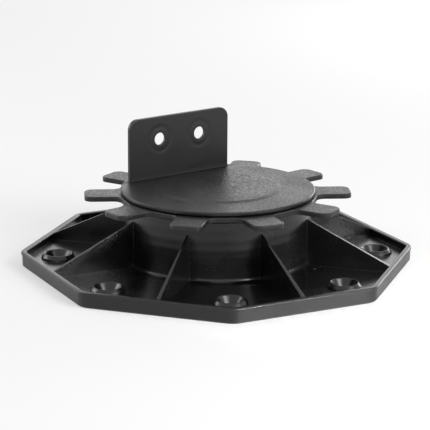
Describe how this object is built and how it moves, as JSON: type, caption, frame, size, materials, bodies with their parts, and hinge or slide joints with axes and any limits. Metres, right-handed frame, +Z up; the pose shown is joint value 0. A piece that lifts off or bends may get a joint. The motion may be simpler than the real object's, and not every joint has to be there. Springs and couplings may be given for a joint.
{
  "type": "decking pedestal",
  "caption": "Height-adjustable plastic pedestal for raised decking: ribbed octagonal base with a threaded hub, hand-turned star screw and a swivelling head with an upright joist plate.",
  "frame": {"origin": "middle of the base's flat underside, on the upright axis that the hub, the screw and the head share", "axes": "+Z up along the screw; the upright joist plate stands across Y, on the +Y side of the axis, and its joist side faces -Y; X runs along the plate"},
  "size_m": [0.2096, 0.2096, 0.0773],
  "materials": {
    "base": "injection-moulded polypropylene, spark-eroded grain with glossier edges",
    "adjusting_screw": "injection-moulded polypropylene, fine spark-eroded grain",
    "joist_head": "injection-moulded polypropylene, fine spark-eroded grain",
    "retaining_ring": "moulded nylon, plain"
  },
  "bodies": {
    "foot": {"base": "base"},
    "carrier": {"retaining_ring": "retaining_ring"},
    "screw": {"adjusting_screw": "adjusting_screw"},
    "head": {"joist_head": "joist_head"}
  },
  "joints": [
    {"name": "lift", "type": "slide", "parent": "foot", "child": "carrier", "axis": [0, 0, 1], "range_m": [-0.00037, 0.0165]},
    {"name": "screw_turn", "type": "hinge", "parent": "carrier", "child": "screw", "pos_m": [0, 0, 0.0392], "axis": [0, 0, 1], "range_deg": [-24, 1080]},
    {"name": "head_swivel", "type": "hinge", "parent": "carrier", "child": "head", "pos_m": [0, 0, 0.0408], "axis": [0, 0, 1], "continuous": true}
  ],
  "couplings": [
    {"joint": "lift", "follows": "screw_turn", "m_per_rad": 0.00087535}
  ]
}
